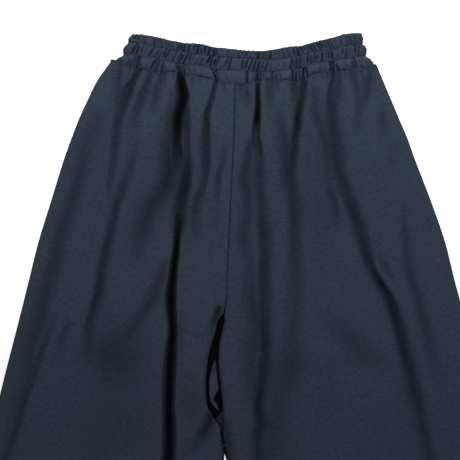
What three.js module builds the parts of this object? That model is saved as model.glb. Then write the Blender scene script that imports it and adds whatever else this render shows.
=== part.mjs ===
// Wide-leg trousers with a gathered elastic waistband, laid flat on a table with the front on top.
// Millimetres, +Z up. +Y points to the waist, +X to the wearer's left, which is the right seen from above.
// The origin is on the table, under the middle of the garment. "down" is the distance below the
// waistband's highest point, so y = LENGTH / 2 - down.
import * as THREE from "three";

// Overall sizes
const LENGTH = 933; // highest point of the waistband to the lowest hem corner
const HEM_REACH = 396; // middle line to a hem's outer corner
const HEM_LIFT = 28; // how much higher a hem's outer corner lies than its inner one
const HEM_INNER = 38; // middle line to a hem's inner corner
const SEAM_GAP = 0.3; // between pieces that are sewn together

// Cloth
const CLOTH = 1.2; // wall of a leg panel
const BACK_TOP = CLOTH; // the back panels lie flat on the table
const FRONT_FLOOR = BACK_TOP + SEAM_GAP; // lowest underside of a front panel
const EDGE_ROLL = 6; // how far in from a side seam the front has turned over from the back
const EDGE_SHARE = 0.42; // how much of its full height the front has there
const EDGE_RAMP = 50; // how far in it reaches its full height
const INSEAM_ROLL = 9; // how far in from an inseam the front reaches its full height
const SLOPE_LIMIT = 2.2; // how many times its thickness a wall may take on a steep slope
const ROW_EASE = { waist: 250, hem: 520 }; // where rows stop following the waist seam and start on the hem

// Waistband: a flattened ring with two rows of elastic and a plain strip under them
const BAND_MIDDLE = 16; // the waistband's centre, right of the middle line
const TOP_DIP = 22; // how far the top edge dips in the middle, laid flat
const SEAM_DOWN = 63; // the waist seam at the band's centre
const SEAM_RISE = 26; // how much higher the seam lies at the sides
const SEAM_REACH = 172; // the band's centre to the seam's ends
const BAND_WALL = 3; // casing with its elastic
const STRIP_WALL = 2; // the strip below the elastic
const BAND_HEIGHT = 9; // from the table to the top of the flattened band
const PLEAT_DEPTH = 1.7;
const PUFF = 1.3; // how far a row of elastic swells between its two stitch lines

// Outline of the whole garment: the side seams at each distance down
const SIDE_SEAMS = [
  { down: 36, left: -158, right: 184 },
  { down: 60, left: -175, right: 194 },
  { down: 86, left: -188, right: 205 },
  { down: 164, left: -219, right: 236 },
  { down: 268, left: -251, right: 274 },
  { down: 372, left: -277, right: 301 },
  { down: 450, left: -297, right: 320 },
  { down: 554, left: -322, right: 341 },
  { down: 720, left: -358, right: 368 },
  { down: 905, left: -HEM_REACH, right: HEM_REACH },
];

// Centre front seam down to the crotch, and below it the inner edge of each front leg
const CROTCH_DOWN = 366;
const FRONT_INNER = [
  { down: 60, left: 3, right: 3 },
  { down: 138, left: 1, right: 1 },
  { down: 216, left: -3, right: -3 },
  { down: 300, left: -7, right: -7 },
  { down: 345, left: -8.5, right: -8.5 },
  { down: 366, left: -12, right: -11 },
  { down: 398, left: -26, right: -17 },
  { down: 450, left: -34, right: -17.5 },
  { down: 478, left: -31, right: -16 },
  { down: 512, left: -14.5, right: -13 },
  { down: 545, left: -10.5, right: -9 },
  { down: 600, left: -17, right: 0 },
  { down: 933, left: -38, right: 39 },
];

// Centre back seam, and below the crotch the inner edge of each back leg
const BACK_INNER = [
  { down: 60, left: 3, right: 3 },
  { down: 216, left: -3, right: -3 },
  { down: 345, left: -8.5, right: -8.5 },
  { down: 430, left: -20, right: -20 },
  { down: 500, left: -16, right: -16 },
  { down: 545, left: -10, right: -10 },
  { down: 600, left: -17, right: 0 },
  { down: 933, left: -38, right: 39 },
];

// Height of the front's top surface between its folds: puffed under the gathers, flat at the hem
const LOFT = [
  { down: 36, high: 12 },
  { down: 110, high: 15 },
  { down: 200, high: 13 },
  { down: 320, high: 11 },
  { down: 450, high: 9 },
  { down: 700, high: 6.5 },
  { down: 933, high: 4.5 },
];

// The largest folds of the front. Each is a trough that runs down the leg: its middle x, its half width
// and its depth at each of FOLD_DOWNS. lip is how far the cloth swells beside it.
const FOLD_DOWNS = [50, 110, 190, 290, 400, 520, 700, 933];
const LEFT_FOLDS = [
  {
    name: "side trough",
    x: [-156, -177, -202, -234, -259, -286, -325, -362],
    half: [8, 11, 12, 17, 18, 13, 12, 12],
    depth: [0, 2, 4.6, 4.8, 4, 2.6, 1.4, 0.4],
    lip: 0,
  },
  {
    name: "hip crease",
    x: [-121, -149, -159, -194, -222, -238, -262, -282],
    half: [6, 4.5, 4, 4, 5, 5, 5, 5],
    depth: [6.5, 5.4, 3, 0.4, 0, 0, 0, 0],
    lip: 0.4,
  },
  {
    name: "thigh crease",
    x: [-104, -126, -139, -167, -189, -190, -196, -206],
    half: [5, 6, 8, 6.5, 5.5, 8, 10, 10],
    depth: [6, 3.4, 2.8, 4, 3.4, 0.8, 0.8, 0.2],
    lip: 0.4,
  },
  {
    name: "short gather",
    x: [-92, -104, -116, -140, -152, -142, -150, -162],
    half: [4.5, 4.5, 5, 5, 5, 5, 5, 5],
    depth: [4.5, 1.4, 0, 0, 0, 0, 0, 0],
    lip: 0.3,
  },
  {
    name: "pocket of the deep pleat",
    x: [-67, -67, -90, -122, -124, -118, -120, -126],
    half: [5, 7.5, 13, 9, 8, 8, 8, 8],
    depth: [9.4, 12, 5, 1.4, 0.4, 0, 0, 0],
    lip: 0.6,
  },
  {
    name: "deep pleat",
    x: [-54, -55, -61, -74, -80, -84, -87, -94],
    half: [3, 4, 6.5, 6, 6.5, 7.5, 8, 9],
    depth: [0.5, 3, 8.4, 10.4, 10.4, 8.6, 5, 1],
    lip: 3.2,
  },
  {
    name: "crotch gather",
    x: [-20, -32, -34, -56, -62, -58, -64, -72],
    half: [4.5, 6, 7, 6, 5, 5, 5, 5],
    depth: [8, 7.4, 4.6, 0.8, 0, 0, 0, 0],
    lip: 0.5,
  },
];
const RIGHT_FOLDS = [
  {
    name: "centre gather",
    x: [19, 20, 17, 15, 12, 12, 32, 66],
    half: [3.5, 4, 5, 8, 5, 5, 5, 5],
    depth: [3.5, 1, 2, 0.8, 0, 0, 0, 0],
    lip: 0.2,
  },
  {
    name: "front pleat",
    x: [33.5, 32, 36, 44, 44, 32, 50, 86],
    half: [4.5, 5, 6.5, 7.5, 7.5, 8, 9, 9],
    depth: [8.8, 11.6, 5.8, 5.8, 4.8, 4, 2.6, 0.8],
    lip: 0.8,
  },
  {
    name: "middle gather",
    x: [54, 59, 60, 64, 66, 62, 80, 116],
    half: [4, 4.5, 5, 5, 5, 5, 5, 5],
    depth: [2.5, 1.4, 1, 0.2, 0, 0, 0, 0],
    lip: 0.2,
  },
  {
    name: "thigh pleat",
    x: [92, 87, 75, 83, 84, 88, 112, 152],
    half: [5.5, 4.5, 7, 6, 6, 6, 6, 6],
    depth: [8.4, 8.8, 5, 2.6, 0.6, 0, 0, 0],
    lip: 0.8,
  },
  {
    name: "long side pleat",
    x: [132, 133, 145, 180, 222, 250, 286, 318],
    half: [6, 7, 7, 7, 7, 6, 7, 8],
    depth: [7.4, 5.8, 5.8, 6.4, 5.8, 4, 2, 0.6],
    lip: 0.9,
  },
  {
    name: "side crease",
    x: [157, 173, 200, 230, 254, 276, 318, 350],
    half: [4, 4.5, 5, 4.5, 4.5, 5, 6, 6],
    depth: [3.4, 0.8, 0.6, 1.5, 1.2, 0.6, 0.2, 0],
    lip: 0.2,
  },
];

// Rows of a leg panel, as distances down on the centre line
const FRONT_ROWS = [
  SEAM_DOWN, 76, 92, 112, 136, 162, 192, 224, 258, 294, 330, 366, 388, 412, 442, 474, 500, 516, 545, 610, 690,
  780, 870, LENGTH,
];
const BACK_ROWS = [SEAM_DOWN, 90, 130, 190, 260, 345, 400, 450, 500, 545, 620, 740, 850, LENGTH];
const BACK_COLUMNS = 9;

// Smoothstep between two edges
function ease(from, to, value) {
  const t = Math.min(1, Math.max(0, (value - from) / (to - from)));
  return t * t * (3 - 2 * t);
}

// A smooth curve through short lists of places and values, level with its ends outside them
function through(places, values, at) {
  const last = places.length - 1;
  if (at <= places[0]) return values[0];
  if (at >= places[last]) return values[last];
  const i = places.findIndex((place) => place > at) - 1;
  const slope = (k) => {
    const a = Math.max(0, k - 1);
    const b = Math.min(last, k + 1);
    return (values[b] - values[a]) / (places[b] - places[a]);
  };
  const span = places[i + 1] - places[i];
  const t = (at - places[i]) / span;
  const t2 = t * t;
  const t3 = t2 * t;
  return (
    (2 * t3 - 3 * t2 + 1) * values[i] +
    (t3 - 2 * t2 + t) * span * slope(i) +
    (-2 * t3 + 3 * t2) * values[i + 1] +
    (t3 - t2) * span * slope(i + 1)
  );
}

function fromTable(table, column, down) {
  return through(
    table.map((row) => row.down),
    table.map((row) => row[column]),
    down,
  );
}

// Where the waistband's top edge and the waist seam lie, at x
function bandTopDown(x) {
  const out = Math.min(1, Math.abs(x - BAND_MIDDLE) / BAND_ROWS[0].reach);
  return TOP_DIP * (1 - out ** 1.5);
}

function waistSeamDown(x) {
  const out = Math.min(1.02, Math.abs(x - BAND_MIDDLE) / SEAM_REACH);
  return SEAM_DOWN - SEAM_RISE * out ** 1.7;
}

// One fold's share of the front's height at a distance across it
function foldShare(fold, x, down) {
  const half = through(FOLD_DOWNS, fold.half, down);
  const depth = through(FOLD_DOWNS, fold.depth, down);
  const across = Math.abs(x - through(FOLD_DOWNS, fold.x, down)) / half;
  const trough = depth * (1 - ease(0.25, 1.1, across));
  const swell = fold.lip * (depth / Math.max(...fold.depth)) * ease(0.8, 1.6, across);
  return swell * (1 - ease(1.6, 4, across)) - trough;
}

// Top surface of the front at a point, from its loft, its rolled edges and its folds
function frontHeight(x, down) {
  const onLeft = x < fromTable(FRONT_INNER, "left", down) + 0.5;
  const side = fromTable(SIDE_SEAMS, onLeft ? "left" : "right", down);
  const inner = fromTable(FRONT_INNER, onLeft ? "left" : "right", down);
  const inward = Math.abs(x - side);
  const ramp = EDGE_SHARE + (1 - EDGE_SHARE) * ease(0, EDGE_RAMP, inward);
  const sideRoll = ramp * Math.sqrt(1 - (1 - Math.min(1, inward / EDGE_ROLL)) ** 2);
  const innerRoll = Math.sqrt(1 - (1 - Math.min(1, Math.abs(x - inner) / INSEAM_ROLL)) ** 2);
  const opened = ease(CROTCH_DOWN - 12, CROTCH_DOWN + 30, down);
  const roll = sideRoll * (1 - opened * (1 - innerRoll));
  const lowest = FRONT_FLOOR + CLOTH;
  let high = fromTable(LOFT, "high", down);
  for (const fold of [...LEFT_FOLDS, ...RIGHT_FOLDS]) high += foldShare(fold, x, down);
  return Math.max(lowest, lowest + (high - lowest) * roll);
}

// Underside of the front: the same wall thickness on its slopes, and never into the back
function frontUnderside(x, down) {
  const reach = 1.5;
  const top = frontHeight(x, down);
  const across = (frontHeight(x + reach, down) - frontHeight(x - reach, down)) / (2 * reach);
  const along = (frontHeight(x, down + reach) - frontHeight(x, down - reach)) / (2 * reach);
  const drop = CLOTH * Math.min(SLOPE_LIMIT, Math.hypot(1, across, along));
  return Math.max(FRONT_FLOOR, top - drop);
}

// Distance down of a panel's row at x: it follows the waist seam at the top and the slanted hem below
function rowDown(row, x) {
  const waistShare = 1 - ease(SEAM_DOWN, ROW_EASE.waist, row);
  const hemShare = ease(ROW_EASE.hem, LENGTH, row);
  const outward = Math.min(1, Math.max(0, (Math.abs(x) - HEM_INNER) / (HEM_REACH - HEM_INNER)));
  const seam = waistSeamDown(x) + SEAM_GAP - SEAM_DOWN;
  return row + seam * waistShare - HEM_LIFT * outward * hemShare;
}

// Places of a front panel's columns at one distance down, from the side seam to its inner edge
function frontColumns(side, folds, down) {
  const outer = fromTable(SIDE_SEAMS, side, down);
  const towards = side === "left" ? 1 : -1;
  const inner = fromTable(FRONT_INNER, side, down) - (towards * SEAM_GAP) / 2;
  const ordered = side === "left" ? folds : [...folds].reverse();
  const places = [0, 0.12, 0.4, 1].map((share) => outer + towards * EDGE_ROLL * share);
  places.push(outer + (towards * EDGE_RAMP) / 3);
  for (const fold of ordered) {
    const middle = through(FOLD_DOWNS, fold.x, down);
    const half = through(FOLD_DOWNS, fold.half, down);
    const shoulder = middle - towards * half * 1.15;
    places.push((places[places.length - 1] + shoulder) / 2);
    for (const share of [-1.15, -0.4, 0.4, 1.15]) places.push(middle + towards * half * share);
  }
  const rolled = inner - towards * INSEAM_ROLL;
  places.push((places[places.length - 1] + rolled) / 2);
  for (const share of [1, 0.4, 0.12, 0]) places.push(inner - towards * INSEAM_ROLL * share);
  const closest = 0.7;
  for (let i = 1; i < places.length; i += 1) {
    if (towards * (places[i] - places[i - 1]) < closest) places[i] = places[i - 1] + towards * closest;
  }
  places[places.length - 1] = inner;
  for (let i = places.length - 2; i > 0; i -= 1) {
    if (towards * (places[i + 1] - places[i]) < closest) places[i] = places[i + 1] - towards * closest;
  }
  return places;
}

function backColumns(side, down) {
  const towards = side === "left" ? 1 : -1;
  const outer = fromTable(SIDE_SEAMS, side, down);
  const inner = fromTable(BACK_INNER, side, down) - (towards * SEAM_GAP) / 2;
  return Array.from({ length: BACK_COLUMNS }, (_, i) => outer + ((inner - outer) * i) / (BACK_COLUMNS - 1));
}

// A grid of [x, down] places, one list for each row
function panelPlaces(rows, columnsAt) {
  return rows.map((row) => {
    const count = columnsAt(row).length;
    return Array.from({ length: count }, (_, j) => {
      let down = row;
      let x = columnsAt(down)[j];
      for (let pass = 0; pass < 4; pass += 1) {
        down = rowDown(row, x);
        x = columnsAt(down)[j];
      }
      return [x, down];
    });
  });
}

// A closed wall from two grids of points, with faces turned outwards. Only a wall closed across may have
// fewer rows in its second grid.
function wallGeometry(top, bottom, closedAcross) {
  const columns = top[0].length;
  const positions = [...top, ...bottom].flat(2);
  const last = [top.length - 1, bottom.length - 1];
  const at = (layer, i, j) => (layer * top.length + i) * columns + (j % columns);
  const index = [];
  const quad = (a, b, c, d) => index.push(a, b, c, a, c, d);
  const spans = closedAcross ? columns : columns - 1;
  for (let j = 0; j < spans; j += 1) {
    for (let i = 0; i < last[0]; i += 1) quad(at(0, i, j), at(0, i + 1, j), at(0, i + 1, j + 1), at(0, i, j + 1));
    for (let i = 0; i < last[1]; i += 1) quad(at(1, i, j), at(1, i, j + 1), at(1, i + 1, j + 1), at(1, i + 1, j));
    quad(at(0, 0, j), at(0, 0, j + 1), at(1, 0, j + 1), at(1, 0, j));
    quad(at(0, last[0], j), at(1, last[1], j), at(1, last[1], j + 1), at(0, last[0], j + 1));
  }
  const ends = closedAcross ? 0 : last[0];
  for (let i = 0; i < ends; i += 1) {
    quad(at(0, i, 0), at(1, i, 0), at(1, i + 1, 0), at(0, i + 1, 0));
    quad(at(0, i, spans), at(0, i + 1, spans), at(1, i + 1, spans), at(1, i, spans));
  }
  const geometry = new THREE.BufferGeometry();
  geometry.setAttribute("position", new THREE.Float32BufferAttribute(positions, 3));
  geometry.setIndex(volumeOf(positions, index) < 0 ? index.reverse() : index);
  geometry.computeVertexNormals();
  return geometry;
}

function volumeOf(positions, index) {
  const corner = (k) => new THREE.Vector3().fromArray(positions, index[k] * 3);
  let volume = 0;
  for (let k = 0; k < index.length; k += 3) {
    volume += corner(k).dot(corner(k + 1).cross(corner(k + 2))) / 6;
  }
  return volume;
}

const point = (x, down, z) => [x, LENGTH / 2 - down, z];

function frontPanel(side, folds) {
  const places = panelPlaces(FRONT_ROWS, (down) => frontColumns(side, folds, down));
  return wallGeometry(
    places.map((row) => row.map(([x, down]) => point(x, down, frontHeight(x, down)))),
    places.map((row) => row.map(([x, down]) => point(x, down, frontUnderside(x, down)))),
    false,
  );
}

function backPanel(side) {
  const places = panelPlaces(BACK_ROWS, (down) => backColumns(side, down));
  return wallGeometry(
    places.map((row) => row.map(([x, down]) => point(x, down, BACK_TOP))),
    places.map((row) => row.map(([x, down]) => point(x, down, 0))),
    false,
  );
}

const STRIP_START = 0.59; // the second stitch line, as a share of the band's width
const SECOND_ROW = 0.42; // the middle of the second row of elastic
// The waistband's rows from its top edge to the waist seam. part is the share of its width, reach its half
// width, lift the swell above a stitch line, gather how much of the pleats' depth shows there.
const BAND_ROWS = [
  { part: 0, reach: 149, lift: -0.6, gather: 0.6 },
  { part: 0.13, reach: 150.5, lift: PUFF, gather: 1 },
  { part: 0.27, reach: 151, lift: 0, gather: 0.25 },
  { part: SECOND_ROW, reach: 156, lift: PUFF, gather: 1 },
  { part: STRIP_START, reach: 157, lift: 0, gather: 0.25 },
  { part: 0.78, reach: 167, lift: 0.8, gather: 0.5 },
  { part: 1, reach: 169, lift: 0, gather: 0.2 },
];
const INSIDE_ROWS = [0, 3, 6]; // the rows that the plain inside face follows
const LEAN = 5; // how far the pleats lean over in the second row of elastic

// Stretches of the band from its left end to its right: where each one ends, and its pleats. The
// elastic has pulled some stretches into tight pleats and left others nearly smooth.
const GATHERS = [
  { to: -120, pleats: 4, deep: 0.8 },
  { to: -104, pleats: 1, deep: 0.5 },
  { to: -80, pleats: 7, deep: 1 },
  { to: -55, pleats: 7, deep: 1 },
  { to: -38, pleats: 2, deep: 0.5 },
  { to: -18, pleats: 6, deep: 1.2 },
  { to: -8, pleats: 2, deep: 0.5 },
  { to: 7, pleats: 2, deep: 0.7 },
  { to: 35, pleats: 8, deep: 1 },
  { to: 51, pleats: 4, deep: 0.9 },
  { to: 73, pleats: 2, deep: 0.5 },
  { to: 92, pleats: 5, deep: 1.1 },
  { to: 130, pleats: 10, deep: 1 },
  { to: 148, pleats: 5, deep: 0.8 },
  { to: 164, pleats: 3, deep: 0.6 },
];

// A trough and a crest for each pleat, as shares from -1 to 1 of the band's half width
function pleatColumns() {
  const columns = [];
  const half = BAND_ROWS[0].reach - BAND_HEIGHT / 2;
  let from = BAND_MIDDLE - half;
  for (const { to, pleats, deep } of GATHERS) {
    const wide = (Math.min(to, BAND_MIDDLE + half) - from) / pleats;
    for (let k = 0; k < pleats; k += 1) {
      const uneven = 1 + 0.3 * Math.sin(columns.length * 1.9);
      const share = (at) => (from + wide * (k + at) - BAND_MIDDLE) / half;
      columns.push({ share: share(0.25), gather: -0.6 * deep * uneven });
      columns.push({ share: share(0.7), gather: 0.4 * deep * uneven });
    }
    from = to;
  }
  return columns;
}

// Height of the band's front wall at a row. The strip under the elastic follows the folds of the legs.
function bandFrontHeight(row, x) {
  const legs = Math.max(BAND_WALL + STRIP_WALL + 1, frontHeight(x, waistSeamDown(x) + 1));
  const share = ease(STRIP_START, 1, row.part);
  return BAND_HEIGHT - 1 + (legs - (BAND_HEIGHT - 1)) * share + row.lift;
}

function waistband() {
  const turns = 4; // faces round each end
  const radius = BAND_HEIGHT / 2;
  const hollow = radius - BAND_WALL;
  const stations = pleatColumns().map((column) => ({ kind: "front", ...column }));
  for (let k = 0; k <= turns; k += 1) stations.push({ kind: "end", side: 1, turn: k / turns });
  const backSpans = 18;
  for (let k = 1; k < backSpans; k += 1) stations.push({ kind: "back", share: 1 - (2 * k) / backSpans });
  for (let k = 0; k <= turns; k += 1) stations.push({ kind: "end", side: -1, turn: 1 - k / turns });
  const outer = [];
  const inner = [];
  for (const row of BAND_ROWS) {
    const lean = LEAN * (SECOND_ROW - row.part);
    const straight = row.reach - radius;
    const outerRow = [];
    const innerRow = [];
    for (const station of stations) {
      if (station.kind === "end") {
        const angle = Math.PI * (0.5 - station.turn);
        const middle = BAND_MIDDLE + station.side * straight;
        const x = middle + station.side * radius * Math.cos(angle);
        const down = bandDown(row, x);
        outerRow.push(point(x, down, radius + radius * Math.sin(angle)));
        const insideX = middle + station.side * hollow * Math.cos(angle);
        innerRow.push(point(insideX, down, radius + hollow * Math.sin(angle)));
        continue;
      }
      const onFront = station.kind === "front";
      const calm = 1 - ease(0.9, 1, Math.abs(station.share));
      const shift = onFront ? lean * calm * (1 - station.share) * 0.5 : 0;
      const x = BAND_MIDDLE + station.share * straight + shift;
      const ripple = onFront ? PLEAT_DEPTH * station.gather * row.gather : 0;
      const down = bandDown(row, x) - (row.part === 0 ? ripple * 0.5 : 0);
      if (onFront) {
        const high = BAND_HEIGHT + (bandFrontHeight(row, x) - BAND_HEIGHT) * calm;
        const wall = BAND_WALL + (STRIP_WALL - BAND_WALL) * ease(STRIP_START, 1, row.part);
        outerRow.push(point(x, down, high + ripple));
        innerRow.push(point(x, down, Math.max(BAND_WALL + 0.6, high - wall - 0.4)));
      } else {
        outerRow.push(point(x, down, 0));
        innerRow.push(point(x, down, BAND_WALL));
      }
    }
    outer.push(outerRow);
    inner.push(innerRow);
  }
  return wallGeometry(outer, INSIDE_ROWS.map((row) => inner[row]), true);
}

function bandDown(row, x) {
  return bandTopDown(x) + (waistSeamDown(x) - bandTopDown(x)) * row.part;
}

// The cloth's finish
const NAVY = new THREE.MeshStandardMaterial({ color: 0x2b313d, roughness: 0.92, metalness: 0 });
const NAVY_BAND = new THREE.MeshStandardMaterial({ color: 0x2d3340, roughness: 0.92, metalness: 0 });

function named(name, geometry, material) {
  const mesh = new THREE.Mesh(geometry, material);
  mesh.name = name;
  return mesh;
}

const trousers = new THREE.Group();
trousers.add(named("waistband", waistband(), NAVY_BAND));
trousers.add(named("front_right_leg", frontPanel("left", LEFT_FOLDS), NAVY));
trousers.add(named("front_left_leg", frontPanel("right", RIGHT_FOLDS), NAVY));
trousers.add(named("back_right_leg", backPanel("left"), NAVY));
trousers.add(named("back_left_leg", backPanel("right"), NAVY));

export default trousers;
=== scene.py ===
# %% [markdown]
# Wide-leg trousers, laid flat
# These are pull-on trousers of dark navy cloth, lying front side up on a white table and seen from above.
# The CAD model gives five solids: a waistband, two front and two back leg panels. They are true to size
# but faceted. Here each one is replaced by a thin shell of cloth with its folds, gathers and stitching.

# %% Load the frame
import math
from collections import namedtuple

import bpy
import numpy as np
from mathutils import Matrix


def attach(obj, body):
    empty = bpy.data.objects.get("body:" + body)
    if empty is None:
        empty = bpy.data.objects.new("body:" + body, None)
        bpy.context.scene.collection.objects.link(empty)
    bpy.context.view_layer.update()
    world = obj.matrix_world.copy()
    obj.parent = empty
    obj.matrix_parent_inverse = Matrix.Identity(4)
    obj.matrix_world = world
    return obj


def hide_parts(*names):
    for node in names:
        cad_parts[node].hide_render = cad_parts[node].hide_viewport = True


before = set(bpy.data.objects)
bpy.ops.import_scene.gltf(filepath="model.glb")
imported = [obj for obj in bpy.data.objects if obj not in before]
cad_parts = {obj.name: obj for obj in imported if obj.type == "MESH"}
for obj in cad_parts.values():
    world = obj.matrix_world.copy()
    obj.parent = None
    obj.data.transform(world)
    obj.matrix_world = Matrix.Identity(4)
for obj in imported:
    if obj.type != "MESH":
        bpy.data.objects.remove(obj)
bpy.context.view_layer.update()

# %% [markdown]
# Sizes
# All sizes are in millimetres, as on a cutting table, and are turned to metres when a mesh is made.
# `down` is the distance below the waistband's highest point. A short table with a row for each height
# is enough for an outline, because a smooth curve is drawn through its rows.

# %% Driving sizes and the outline
MM = 0.001
LENGTH = 933  # highest point of the waistband to the lowest hem corner
HEM_REACH = 396  # middle line to a hem's outer corner
HEM_INNER = 38  # middle line to a hem's inner corner
HEM_LIFT = 28  # a hem's outer corner lies this much higher than its inner one
HEM_TURN = 25  # depth of the turned-up hem
SEAM_LINE = 63  # the row that follows the waist seam
CROTCH = 366
MIDDLE = 3  # x of the centre seam at the waist, since the garment lies a little askew
CLOTH = 1.0  # thickness of the cloth
SLACK = 0.35  # between the front and the back where they touch

SIDE_SEAMS = {
    "down": [36, 60, 86, 110, 136, 164, 216, 268, 320, 372, 450, 554, 720, 905],
    "left": [-158, -175, -188, -199, -209, -219, -235, -251, -264, -277, -297, -322, -358, -396],
    "right": [184, 194, 205, 215, 226, 236, 256, 274, 287, 301, 320, 341, 368, 396],
}
FRONT_INNER = {
    "down": [60, 138, 216, 300, 331, 341, 354, 362.3, 365.5, 372, 384, 401.5, 417, 430, 444.5, 461, 475,
             485, 490.5, 495, 499.5, 503, 507, 511, 518.5, 525, 535.5, 543, 546.5, 550, 600, 933],
    "left": [3, 1, -3, -7, -8, -8, -10.3, -11.8, -15.4, -19, -21.6, -26.9, -30.9, -32.8, -34.6, -34.8, -34,
             -32, -28.5, -26, -23.4, -18.8, -15.4, -14.6, -14.3, -13.3, -11.7, -10.6, -12.2, -13, -17, -38],
    "right": [3, 1, -3, -7, -8, -8, -10.3, -11.4, -11.6, -11.4, -14, -18, -19.4, -19.3, -18, -15.8,
              -14.4, -13.8, -13.7, -13.7, -13.8, -13.9, -14.1, -14.1, -13.9, -13.1, -11.5, -10.4, -8.9,
              -7.6, 0, 39],
}
BACK_INNER = {
    "down": [60, 216, 345, 430, 500, 535, 545, 600, 933],
    "left": [3, -3, -8.5, -12, -13.5, -12.2, -11, -17, -38],
    "right": [3, -3, -8.5, -12, -13.5, -11.6, -9.6, 0, 39],
}
BAND_LINES = {  # the waistband's top edge, its two stitch lines and the waist seam, as distances down
    "x": [-154, -132, -123, -114, -103, -92, -85, -73, -60, -42, -25, -14, 17, 27, 32, 39, 44, 55, 62, 75,
          80, 88, 95, 102, 111, 124, 131, 137, 142, 153, 166, 184],
    "top": [3.5, 2, 1.5, 2.5, 4.5, 6.5, 8.5, 11, 13, 14, 18, 19.5, 22.5, 23, 23, 23, 22.5, 21, 19.5, 17.5,
            17, 16.5, 14.5, 12.5, 10, 7, 5.5, 3.5, 2, 0.5, 0.5, 3],
    "first": [14.5, 12, 13, 14.5, 17.5, 19.5, 20.5, 23.5, 25.5, 28.5, 30.5, 31.5, 33, 34, 34.5, 35, 35,
              34.5, 34, 32.5, 31, 29.5, 27.5, 25.5, 24.5, 23, 22, 19.5, 17.5, 16, 14, 13],
    "second": [28.5, 28.5, 30, 31, 33, 36, 37, 39.5, 41, 43, 46.5, 48, 50, 50.5, 51, 50.5, 50.5, 49.5, 49,
               47.5, 47, 46, 44, 40, 39, 37, 35.5, 34.5, 34, 32.5, 30, 28.5],
    "seam": [36, 46, 48, 46.5, 53, 54, 50.5, 50, 58, 56, 60.5, 64, 67, 64, 66.5, 62.5, 60, 63, 61, 61, 65,
             64.5, 62.5, 53, 51, 51, 55, 51.5, 47.5, 47.5, 49, 42],
}
LOFT = {  # height of the front between its folds
    "down": [36, 110, 200, 320, 450, 700, 933],
    "high": [12, 15, 13, 11, 9, 6.5, 4.5],
}


# %% Helpers for smooth curves
def ease(low, high, value):
    """0 below low, 1 above high, and a smooth step between them."""
    t = np.clip((value - low) / (high - low), 0, 1)
    return t * t * (3 - 2 * t)


def curve(places, values, at):
    """A smooth curve through the values at those places, level with its ends outside them."""
    places = np.asarray(places, float)
    values = np.asarray(values, float)
    slopes = np.gradient(values, places) if len(places) > 2 else np.full(2, 0.0)
    slopes[1:-1] = (values[2:] - values[:-2]) / (places[2:] - places[:-2])
    at = np.clip(at, places[0], places[-1])
    i = np.clip(np.searchsorted(places, at, side="right") - 1, 0, len(places) - 2)
    span = places[i + 1] - places[i]
    t = (at - places[i]) / span
    start = (2 * t**3 - 3 * t**2 + 1) * values[i] + (t**3 - 2 * t**2 + t) * span * slopes[i]
    end = (3 * t**2 - 2 * t**3) * values[i + 1] + (t**3 - t**2) * span * slopes[i + 1]
    return start + end


def row_of(table, column, down):
    return curve(table["down"], table[column], down)


def soft_noise(x, y, across, along, seed):
    """Smooth seeded noise from -1 to 1, with bumps of about that size across and along."""
    rng = np.random.default_rng(seed)
    lattice = rng.uniform(-1, 1, (96, 96))
    u = np.asarray(x) / across + 48
    v = np.asarray(y) / along + 16
    i = np.floor(u).astype(int) % 95
    j = np.floor(v).astype(int) % 95
    a = u - np.floor(u)
    b = v - np.floor(v)
    a = a * a * (3 - 2 * a)
    b = b * b * (3 - 2 * b)
    near = lattice[i, j] * (1 - a) + lattice[i + 1, j] * a
    far = lattice[i, j + 1] * (1 - a) + lattice[i + 1, j + 1] * a
    return near * (1 - b) + far * b


# %% [markdown]
# Folds
# The elastic draws the wide cloth together, so folds fall from the waist and run down both legs. Each
# is a trough along a path. A row of its table gives the path's place across, the distance down, the
# trough's reach to the left and to the right where it is half as deep, and its depth. `soft` is 0.4
# for steep walls and 1 for a gentle hollow. The number after it is painted shade: how far the cloth's
# colour is darkened at the bottom, where little light reaches. Placing the folds one by one keeps them
# where the real ones lie.

# %% The folds of the front
Fold = namedtuple("Fold", "name soft dark path")

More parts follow.
